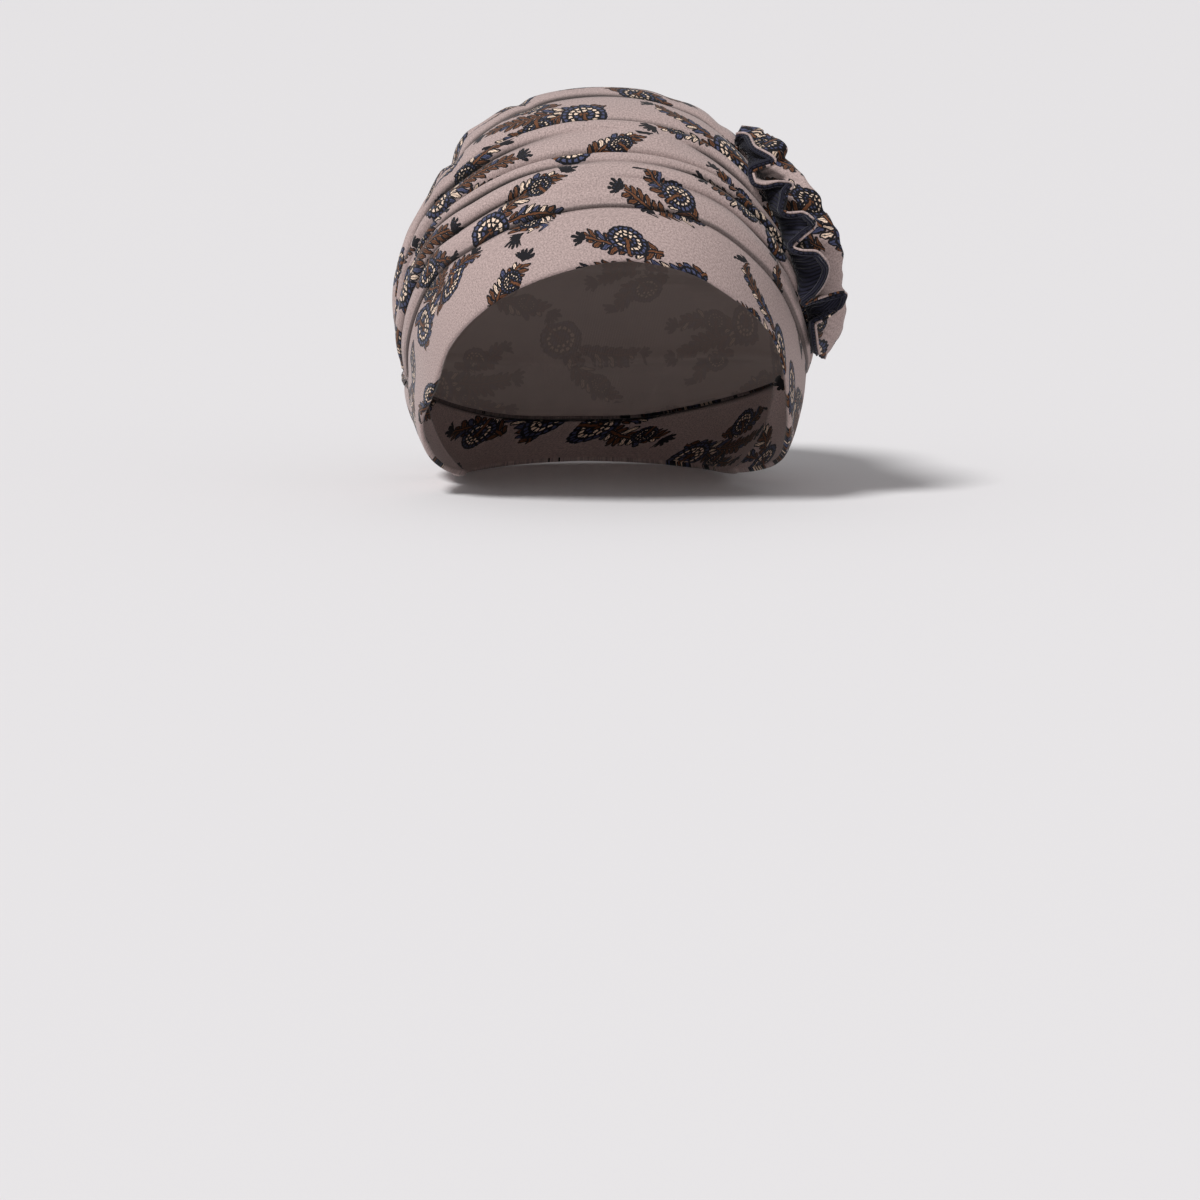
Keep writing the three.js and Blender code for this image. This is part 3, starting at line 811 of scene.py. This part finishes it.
# Place from seam to seam over the right ear, on the middle and at the ruffle, the lift there as shares of
# foldHeight, and how many millimetres a crest hangs over the crease in front, less than 0 where it leans
# back. Creases with 0 there fade out in places, and the main one has 0.01 to stay whole.
foldRows = [
    (0, 0, 0, -0.12, -0.12, -0.12, 0),
    (0.012, 0.008, 0.012, 0.2, 0.16, 0.16, 1.2),
    (0.035, 0.022, 0.026, 0.5, 0.36, 0.36, 0.5),
    (0.06, 0.042, 0.042, -0.55, 0.33, 0.0, 0),
    (0.1, 0.055, 0.054, 0.8, 0.52, 0.55, 0.3),
    (0.14, 0.0705, 0.068, -0.6, 0.42, -0.2, 0),
    (0.162, 0.079, 0.076, 0.55, 0.62, 0.6, -1),
    (0.18, 0.0875, 0.084, -0.8, -0.75, -0.6, 0.01),
    (0.208, 0.106, 0.094, 0.82, 0.64, 0.6, 0.3),
    (0.232, 0.138, 0.103, -0.6, 0.66, -0.5, 0),
    (0.252, 0.149, 0.118, 0.85, 0.82, 0.74, -0.6),
    (0.27, 0.159, 0.133, -0.6, 0.5, -0.6, 0),
    (0.29, 0.195, 0.16, 0.4, 0.84, 0.8, 0.6),
    (0.312, 0.262, 0.19, -1.1, 0.55, -0.6, 0),
    (0.335, 0.315, 0.25, -0.1, 0.86, 0.7, 2),
    (0.36, 0.365, 0.31, -1.3, -0.1, -0.3, 0),
    (0.42, 0.44, 0.38, -0.3, 1.14, 0.6, 3),
    (0.485, 0.505, 0.45, -0.8, 0.1, -0.1, 0),
    (0.55, 0.565, 0.53, 0.8, 0.75, 0.75, 1.5),
    (0.615, 0.63, 0.61, -0.2, -0.1, -0.2, 0),
    (0.685, 0.695, 0.69, 0.75, 0.65, 0.7, 1.5),
    (0.76, 0.77, 0.77, -0.2, -0.1, -0.2, 0),
    (0.835, 0.84, 0.84, 0.6, 0.5, 0.6, 1.0),
    (0.91, 0.91, 0.91, -0.15, -0.1, -0.15, 0),
    (0.955, 0.955, 0.955, 0.35, 0.3, 0.35, 0.2),
    (0.99, 0.99, 0.99, 0.16, 0.16, 0.16, 0.1),
    (1, 1, 1, -0.12, -0.12, -0.12, 0),
]

# Dents that notch the outline: side, place, their spread both ways, and depth in millimetres
dents = [
    (-34, 0.4, 1.8, 0.13, 3.0),
    (-28, 0.42, 3.0, 0.12, -1.6),
    (-15.5, 0.38, 1.6, 0.12, 1.7),
    (5, 0.47, 5.0, 0.05, -1.0),
    (24, 0.38, 1.8, 0.1, 2.2),
    (14, 0.3, 3.0, 0.05, 1.0),
]


def dentDepth(side, place):
    depth = 0
    for atSide, atPlace, wide, long, deep in dents:
        aside = (side - atSide) / wide
        along = (place - atPlace) / long
        depth += deep * math.exp(-(aside**2) - along**2)
    return depth


def acrossSides(right, mid, left, side, bend):
    # folds run level over the middle and turn down near the ears
    end = right if side < 0 else left
    share = min(side / (crown["rightSide"] if side < 0 else crown["leftSide"]), crown["drift"])
    return mid + (end - mid) * share**bend


def foldScale(side):
    return crown["foldHeight"] * math.cos(side * degree) ** crown["foldTaper"]


def foldStations(perFold):
    stations = []
    for k in range(len(foldRows) - 1):
        count = perFold if 0 < k < len(foldRows) - 2 else crown["rowsAtSeam"]
        rising = foldRows[k + 1][4] > foldRows[k][4]
        for n in range(count):
            # rows of points lie closer together towards a crease
            share = n / count if rising else 1 - n / count
            share **= crown["rowEasing"]
            stations.append((k, share if rising else 1 - share))
    stations.append((len(foldRows) - 2, 1))
    return stations


def stationPlace(station, side):
    k, share = station
    a = acrossSides(*foldRows[k][0:3], side, crown["bend"])
    b = acrossSides(*foldRows[k + 1][0:3], side, crown["bend"])
    return a + (b - a) * share


def rowLift(k, side):
    lift = acrossSides(*foldRows[k][3:6], side, crown["deepen"])
    isCrease = 0 < k < len(foldRows) - 1 and foldRows[k][6] == 0
    if isCrease:
        # each crease fades out at places of its own
        lift += crown["fade"] * max(noise.noise(Vector((side / crown["fadeLength"], k * 5.3, 2.2))), 0)
    return lift


def stationLift(station, side):
    k, share = station
    a = rowLift(k, side)
    b = rowLift(k + 1, side)
    eased = 1 - (1 - share) ** crown["sharpness"] if b > a else share ** crown["sharpness"]
    hang = foldRows[k][6] + (foldRows[k + 1][6] - foldRows[k][6]) * eased
    return (a + (b - a) * eased) * foldScale(side), hang


crownStations = foldStations(crown["rowsPerFold"])


def crownPoint(station, side):
    share = stationPlace(station, side)
    lift, hang = stationLift(station, side)
    # folds wander a little on their way across
    run = side / crown["wrinkleLong"]
    wander = noise.noise(Vector((run, share * crown["wanderCount"], 7.7)))
    share += crown["wander"] * math.sin(math.pi * share) * wander
    radius = form["halfWidth"] * math.cos(side * degree)
    margin = crown["tuckUnder"] / radius / degree
    front = seamSweep(side, 0) - margin
    back = seamSweep(side, 1) + margin
    # a crest hangs over less where the cloth is bunched by the ears
    overhang = hang * math.cos(side * degree) ** crown["hangTaper"] / form["reach"] / degree
    sweep = front + (back - front) * share - overhang
    # fine wrinkles that run with the folds, none at the seams and more where the cloth is bunched
    inField = math.sin(math.pi * min(share * 8, (1 - share) * 8, 0.5))
    cell = Vector((run, share * crown["wrinkleCount"] + side * crown["wrinkleLean"], 3.1))
    fine = noise.noise(cell) + 0.5 * noise.noise(cell * 2.3)
    bunched = 1 + crown["bunching"] * (side / form["earSide"]) ** 2
    lift += crown["wrinkle"] * bunched * fine * inField - dentDepth(side, share)
    return onForm(direction(side, sweep), lift)


def paintedCreaseShades(side):
    # painted shade for each row: how far it lies below the crests on both sides of it, and a fixed dark line
    # by the seams, standing in for the shade that falls there
    lifts = [stationLift(station, side)[0] for station in crownStations]
    reach = crown["rowsPerFold"]
    paintedShades = []
    for j, lift in enumerate(lifts):
        before = max(lifts[max(j - reach, 0) : j + 1])
        after = max(lifts[j : j + reach + 1])
        depth = max(min(before, after) - lift, 0) / crown["paintedShadeDepth"]
        nearSeam = crown["paintedSeamShade"] if crownStations[j][0] in (0, len(foldRows) - 2) else 0
        paintedShades.append(max(min(depth, 1) ** crown["paintedShadeCurve"], nearSeam))
    return paintedShades


def crestRows():
    # the crest of the fold that each row of faces belongs to
    firstOf = {}
    for j, station in enumerate(crownStations):
        firstOf.setdefault(station[0], j)
    crests = []
    for k, _ in crownStations:
        rising = foldRows[k + 1][4] > foldRows[k][4]
        crests.append(firstOf[min(k + 1, len(foldRows) - 2)] if rising else firstOf[k])
    return crests


columnSides = [form["earSide"] * (2 * i / crown["columns"] - 1) for i in range(crown["columns"] + 1)]
widened = 1 + crown["tuckUnder"] / form["halfWidth"] / degree / form["earSide"]
crownGrid = [[crownPoint(station, side * widened) for station in crownStations] for side in columnSides]
# painted shade in the crown's creases and by its seams
crownPaintedShades = [paintedCreaseShades(side) for side in columnSides]
crownMap = clothMap(crownGrid, crown["printTurn"], crown["printShift"], crestRows())
crownPiece = gridPiece("crown_cloth", crownGrid, crownMap, paintedShades=crownPaintedShades)
faceOutwards(crownPiece)
crownPiece.data.materials.append(printedSide)
crownPiece.data.materials.append(reverseSide)
thicken(crownPiece, crown["wall"], -1, 1)
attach(crownPiece, "root")
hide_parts("crown")
print("crown made")

# The band, in millimetres, with its flat sizes in metres
band = {
    "wall": 2.0,
    "rows": 26,
    "hemRoll": 0.7,
    "topRoll": 0.9,
    "rollWidth": 0.07,
    "wrinkle": 0.35,
    "wrinkleCount": 5,
    # rows over which the painted shade at the band's top fades out
    "paintedShadeRows": 1.6,
    "printTurn": -4,
    "printShift": (-23, 6),
    "flatLength": 0.56,
    "flatDepth": 0.062,
}


def hemDirection(turn):
    share = curveValue(hemRows, turn, 1)
    height = share * (form["hemHeight"] if share > 0 else form["napeDrop"])
    t = turn * degree

    def at(rise):
        r = rise * degree
        return Vector((math.cos(r) * math.sin(t), -math.cos(r) * math.cos(t), math.sin(r)))

    low = -form["flattestSlope"]
    high = form["flattestSlope"]
    for _ in range(30):
        middle = (low + high) / 2
        d = at(middle)
        if formRadius(d) * d.z < height:
            low = middle
        else:
            high = middle
    return at(low)


def edgeDirection(station, side, gap):
    radius = form["halfWidth"] * math.cos(side * degree)
    margin = gap / radius / degree
    front = seamSweep(side, 0) + margin
    back = seamSweep(side, 1) - margin
    return direction(side, front + (back - front) * stationPlace(station, side))


def crownEdgeLoop():
    gapSide = form["seamGap"] / form["halfWidth"] / degree
    gap = form["seamGap"] / 2
    ear = form["earSide"] + gapSide
    inEar = crownStations[crown["rowsPerFold"] : -1 : crown["rowsPerFold"]]
    front = [edgeDirection((0, 0), side, -gap) for side in columnSides]
    leftEar = [edgeDirection(s, ear, gap) for s in inEar]
    back = [edgeDirection((len(foldRows) - 2, 1), side, -gap) for side in reversed(columnSides)]
    rightEar = [edgeDirection(s, -ear, gap) for s in reversed(inEar)]
    return front + leftEar + back + rightEar


def bandColumn(top):
    hem = hemDirection(math.atan2(top.x, -top.y) / degree)
    column = []
    for j in range(band["rows"] + 1):
        share = j / band["rows"]
        d = hem.lerp(top, share).normalized()
        hemDip = max(1 - share / band["rollWidth"], 0) ** 2
        topDip = max(1 - (1 - share) / band["rollWidth"], 0) ** 2
        lift = -band["hemRoll"] * hemDip - band["topRoll"] * topDip
        lift += band["wrinkle"] * noise.noise(d * band["wrinkleCount"]) * math.sin(math.pi * share)
        column.append(onForm(d, lift))
    return column


bandGrid = [bandColumn(top) for top in crownEdgeLoop()]
bandGrid.append([p.copy() for p in bandGrid[0]])
bandMap = clothMap(bandGrid, band["printTurn"], band["printShift"])
# painted shade along the band's top, where it meets the crown and shade falls under the seam
paintedTopShade = [max(1 - (band["rows"] - j) / band["paintedShadeRows"], 0) for j in range(band["rows"] + 1)]
bandPaintedShades = [paintedTopShade for _ in bandGrid]  # dark only where the band meets the crown
bandPiece = gridPiece("band_cloth", bandGrid, bandMap, wraps=True, paintedShades=bandPaintedShades)
faceOutwards(bandPiece)
bandPiece.data.materials.append(printedSide)
thicken(bandPiece, band["wall"], -1)
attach(bandPiece, "root")
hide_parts("head_band")
print("band made")

# The ruffle, in millimetres and shares of its width, with its flat sizes in metres
ruffle = {
    "width": 20,
    "seat": 4.5,
    "wall": 0.9,
    "layerGap": 0.3,
    "columns": 280,
    "rowsPerSide": 13,
    "hollow": 0.1,
    "flute": 0.55,
    "wavesBehind": 15,
    "wavesInFront": 17,
    "gathers": 31,
    "gatherEnd": 1.6,
    # painted shade by the sewn line and between the gathers
    "paintedShadeEnd": 1.5,
    "paintedShadeCurve": 1.4,
    "paintedGatherShadeDepth": 0.6,
    "paintedGatherShadeEnd": 1.1,
    "rimIn": 1.5,
    "rimWide": 1.25,
    "rimHigh": 0.75,
    "rimRound": 6,
    "rimSides": 10,
    "rimThinEnd": 0.3,
    "printTurn": 35,
    "printShift": (40, -12),
    "flatLength": 0.15,
    "flatWidth": 0.04,
}
# Side and sweep of the line that the ruffle is sewn along, from the top down
ruffleLine = [(26.5, 71), (29, 61), (31.5, 51), (36, 42.5), (41.5, 35.5), (48.5, 28.5), (58, 20)]
# Both free edges: place along the line, then how far in front of it and off the crown, as shares of width
frontEdge = [
    (0.06, 0.3, 0.2), (0.09, 0.15, 0.34), (0.16, 0.2, 0.35), (0.25, 0.0, 0.56),
    (0.265, 0.2, 0.4), (0.275, 0.42, 0.2), (0.315, 0.45, 0.2), (0.335, 0.38, 0.3),
    (0.35, 0.15, 0.54), (0.37, 0.0, 0.68), (0.39, 0.1, 0.54), (0.42, 0.2, 0.4),
    (0.45, 0.2, 0.42), (0.475, 0.05, 0.75), (0.515, 0.0, 0.82), (0.536, 0.15, 0.54),
    (0.555, 0.3, 0.28), (0.58, 0.3, 0.46), (0.61, 0.15, 0.72), (0.66, 0.05, 0.76),
    (0.72, 0.1, 0.6), (0.76, 0.25, 0.35), (0.775, 0.4, 0.16), (0.785, 0.25, 0.3),
    (0.79, 0.0, 0.54), (0.805, -0.15, 0.85), (0.85, -0.1, 0.7), (0.865, 0.1, 0.4),
    (0.87, 0.28, 0.18), (0.94, 0.3, 0.14), (1.03, 0.25, 0.12),
]
backEdge = [
    (-0.08, -0.3, 0.12), (-0.01, -0.45, 0.34), (0.08, -0.5, 0.42), (0.15, -0.5, 0.58),
    (0.16, -0.68, 0.28), (0.23, -0.7, 0.41), (0.33, -0.65, 0.57), (0.42, -0.7, 0.67),
    (0.48, -0.8, 0.58), (0.54, -0.75, 0.73), (0.62, -0.75, 0.76), (0.7, -0.8, 0.68),
    (0.79, -0.85, 0.55), (0.85, -0.8, 0.52), (0.91, -0.75, 0.57), (0.98, -0.7, 0.54),
    (1.05, -0.6, 0.46), (1.1, -0.5, 0.32), (1.14, -0.4, 0.16), (1.15, -0.25, 0.1),
]


def crownLift(d):
    side, sweep = anglesOf(d)
    front = seamSweep(side, 0)
    share = (sweep - front) / (seamSweep(side, 1) - front)
    k = 0
    while k < len(crownStations) - 2 and stationPlace(crownStations[k + 1], side) < share:
        k += 1
    return max(stationLift(crownStations[k], side)[0], stationLift(crownStations[k + 1], side)[0])


def ruffleFrame(along):
    def place(s):
        return direction(evenValue(ruffleLine, s, 0), evenValue(ruffleLine, s, 1))

    inside = min(max(along, 0), 1)
    start = max(inside - 0.01, 0)
    end = min(inside + 0.01, 1)
    tangent = onForm(place(end), 0) - onForm(place(start), 0)
    length = tangent.length / (end - start)
    tangent.normalize()
    outward = place(inside)
    front = outward.cross(tangent).normalized()
    if front.y > 0:
        front.negate()
    off = tangent.cross(front).normalized()
    if off.dot(outward) < 0:
        off.negate()
    middle = onForm(outward, 0)
    nearby = [(middle + front * (w * ruffle["seat"])).normalized() for w in (-1, -0.5, 0, 0.5, 1)]
    lift = max(crownLift(d) for d in nearby) + form["seamGap"] + ruffle["wall"] + ruffle["layerGap"] / 2
    point = onForm(outward, lift) + tangent * ((along - inside) * length)
    return point, tangent, front, off


def ruffleEdge(rows, share):
    point, _, front, off = ruffleFrame(evenValue(rows, share, 0))
    over = evenValue(rows, share, 1) * ruffle["width"]
    out = evenValue(rows, share, 2) * ruffle["width"]
    return point + front * over + off * out


def ruffleColumn(share):
    point, _, front, off = ruffleFrame(share)
    column = []
    perSide = ruffle["rowsPerSide"]
    for j in range(-perSide, perSide + 1):
        out = abs(j) / perSide
        edge = ruffleEdge(backEdge if j < 0 else frontEdge, share)
        hollow = -math.sin(out * math.pi) * ruffle["hollow"] * ruffle["width"]
        p = point.lerp(edge, out) + off * (hollow * (1 - out))
        # small flutes fan out from the gathers along the sewn line
        waves = ruffle["wavesBehind"] if j < 0 else ruffle["wavesInFront"]
        wave = math.sin(share * fullTurn * waves + 1.3)
        gather = math.sin(share * fullTurn * ruffle["gathers"]) * max(1 - out * ruffle["gatherEnd"], 0)
        lean = front if j < 0 else -front
        p += lean * (ruffle["flute"] * (wave * out + gather * min(out * 6, 1)))
        column.append(p)
    return column


ruffleGrid = [ruffleColumn(i / ruffle["columns"]) for i in range(ruffle["columns"] + 1)]


def ruffleNormal(i, j):
    lastColumn = len(ruffleGrid) - 1
    lastRow = len(ruffleGrid[0]) - 1
    along = ruffleGrid[min(i + 2, lastColumn)][j] - ruffleGrid[max(i - 2, 0)][j]
    across = ruffleGrid[i][min(j + 1, lastRow)] - ruffleGrid[i][max(j - 1, 0)]
    return along.cross(across).normalized()


def paintedGatherShade(share, j):
    # painted shade: darker down by the sewn line and between the gathers that fan out from it, where shade
    # falls
    out = abs(j - ruffle["rowsPerSide"]) / ruffle["rowsPerSide"]
    uneven = 4 * noise.noise(Vector((share * 14, 3.3, 0)))
    between = 0.5 - 0.5 * math.sin(share * fullTurn * ruffle["gathers"] + uneven)
    deep = max(1 - out * ruffle["paintedShadeEnd"], 0) ** ruffle["paintedShadeCurve"]
    shallow = ruffle["paintedGatherShadeDepth"] * between * max(1 - out * ruffle["paintedGatherShadeEnd"], 0)
    return min(deep + shallow, 1)


def ruffleLayer(name, distance, turn, shift):
    grid = []
    paintedShades = []
    for i, column in enumerate(ruffleGrid):
        grid.append([p + ruffleNormal(i, j) * distance for j, p in enumerate(column)])
        paintedShades.append([paintedGatherShade(i / ruffle["columns"], j) for j in range(len(column))])
    return gridPiece(name, grid, clothMap(grid, turn, shift), paintedShades=paintedShades)


middleOfLayer = (ruffle["layerGap"] + ruffle["wall"]) / 2
facePiece = ruffleLayer("ruffle_print_side", -middleOfLayer, ruffle["printTurn"], ruffle["printShift"])
facePiece.data.materials.append(printedSide)
thicken(facePiece, ruffle["wall"], 0)
backingPiece = ruffleLayer("ruffle_rib_side", middleOfLayer, 0, (0, 0))
backingPiece.data.materials.append(ribCloth)
thicken(backingPiece, ruffle["wall"], 0)


def rimPiece(name, edgeRow, inward):
    # the ribbed layer is turned along the free edge into a soft roll, on the rib's side
    ringCount = ruffle["rimSides"]
    thin = ruffle["rimThinEnd"]
    lastColumn = len(ruffleGrid) - 1
    grid = []
    runs = []
    run = 0
    for i, column in enumerate(ruffleGrid):
        normal = ruffleNormal(i, edgeRow)
        toEdge = (column[edgeRow] - column[edgeRow + inward * 2]).normalized()
        middle = column[edgeRow] - toEdge * ruffle["rimIn"] + normal * (2 * middleOfLayer)
        if i:
            run += (column[edgeRow] - ruffleGrid[i - 1][edgeRow]).length
        # the roll thins over its last few columns
        full = thin + (1 - thin) * min(min(i, lastColumn - i) / 5, 1) ** 0.5
        ring = []
        for n in range(ringCount + 1):
            turn = fullTurn * n / ringCount
            wide = math.cos(turn) * ruffle["rimWide"] * full
            high = math.sin(turn) * ruffle["rimHigh"] * full
            ring.append(middle + toEdge * wide + normal * high)
        grid.append(ring)
        runs.append(run)

    def place(i, j, _):
        return runs[i] / clothUnit, j / ringCount * ruffle["rimRound"] / clothUnit

    piece = gridPiece(name, grid, place, wraps=True)
    piece.data.materials.append(ribRim)
    bpy.ops.object.shade_smooth()
    return piece


frontRim = rimPiece("ruffle_front_rim", len(ruffleGrid[0]) - 1, -1)
backRim = rimPiece("ruffle_back_rim", 0, 1)
for piece in (facePiece, backingPiece, frontRim, backRim):
    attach(piece, "root")
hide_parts("ruffle_face")
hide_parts("ruffle_backing")
print("ruffle made")

# Stage, light and camera, in metres and degrees
stage = {
    "floorSize": 30,
    "floorTone": (0.79, 0.775, 0.785, 1),
    "lowest": -0.0468,
    "sunPlace": (-1.3, -1.2, 2.4),
    "sunPower": 2.6,
    "sunSpread": 14,
    "fillPlace": (1.6, -1.5, 0.9),
    "fillPower": 0.9,
    "fillSize": 1.4,
    "aim": (0, 0, 0.03),
    "skyTone": (1, 0.99, 1, 1),
    "skyPower": 0.36,
}
bpy.ops.object.select_all(action="DESELECT")
bpy.ops.mesh.primitive_plane_add(size=stage["floorSize"], location=(0, 0, stage["lowest"]))
floor = bpy.context.object
floor.name = "floor"
floorMaterial = bpy.data.materials.new("pale_floor")
floorMaterial.use_nodes = True
floorShader = floorMaterial.node_tree.nodes["Principled BSDF"]
floorShader.inputs["Base Color"].default_value = stage["floorTone"]
floorShader.inputs["Roughness"].default_value = 0.9
floor.data.materials.append(floorMaterial)

world = bpy.data.worlds.new("studio")
bpy.context.scene.world = world
world.use_nodes = True
sky = world.node_tree.nodes["Background"]
sky.inputs["Color"].default_value = stage["skyTone"]
sky.inputs["Strength"].default_value = stage["skyPower"]


def addLight(name, kind, place, power, spread):
    data = bpy.data.lights.new(name, kind)
    data.energy = power
    if kind == "SUN":
        data.angle = spread * degree
    else:
        data.size = spread
    light = bpy.data.objects.new(name, data)
    bpy.context.collection.objects.link(light)
    light.location = place
    light.rotation_euler = (Vector(stage["aim"]) - Vector(place)).to_track_quat("-Z", "Y").to_euler()


addLight("key", "SUN", stage["sunPlace"], stage["sunPower"], stage["sunSpread"])
addLight("fill", "AREA", stage["fillPlace"], stage["fillPower"], stage["fillSize"])

camera = {
    "distance": 2.213,
    "height": 0.206,
    "azimuth": -5.3,
    "pitch": 7.77,
    "lens": 157.3,
}
cameraData = bpy.data.cameras.new("camera")
cameraData.lens = camera["lens"]
cameraData.sensor_width = 36
cameraObject = bpy.data.objects.new("camera", cameraData)
bpy.context.collection.objects.link(cameraObject)
turn = camera["azimuth"] * degree
cameraObject.location = (
    math.sin(turn) * camera["distance"],
    -math.cos(turn) * camera["distance"],
    camera["height"],
)
cameraObject.rotation_euler = ((90 - camera["pitch"]) * degree, 0, turn)
bpy.context.scene.camera = cameraObject
bpy.context.scene.view_settings.view_transform = "Standard"

print("stage made")
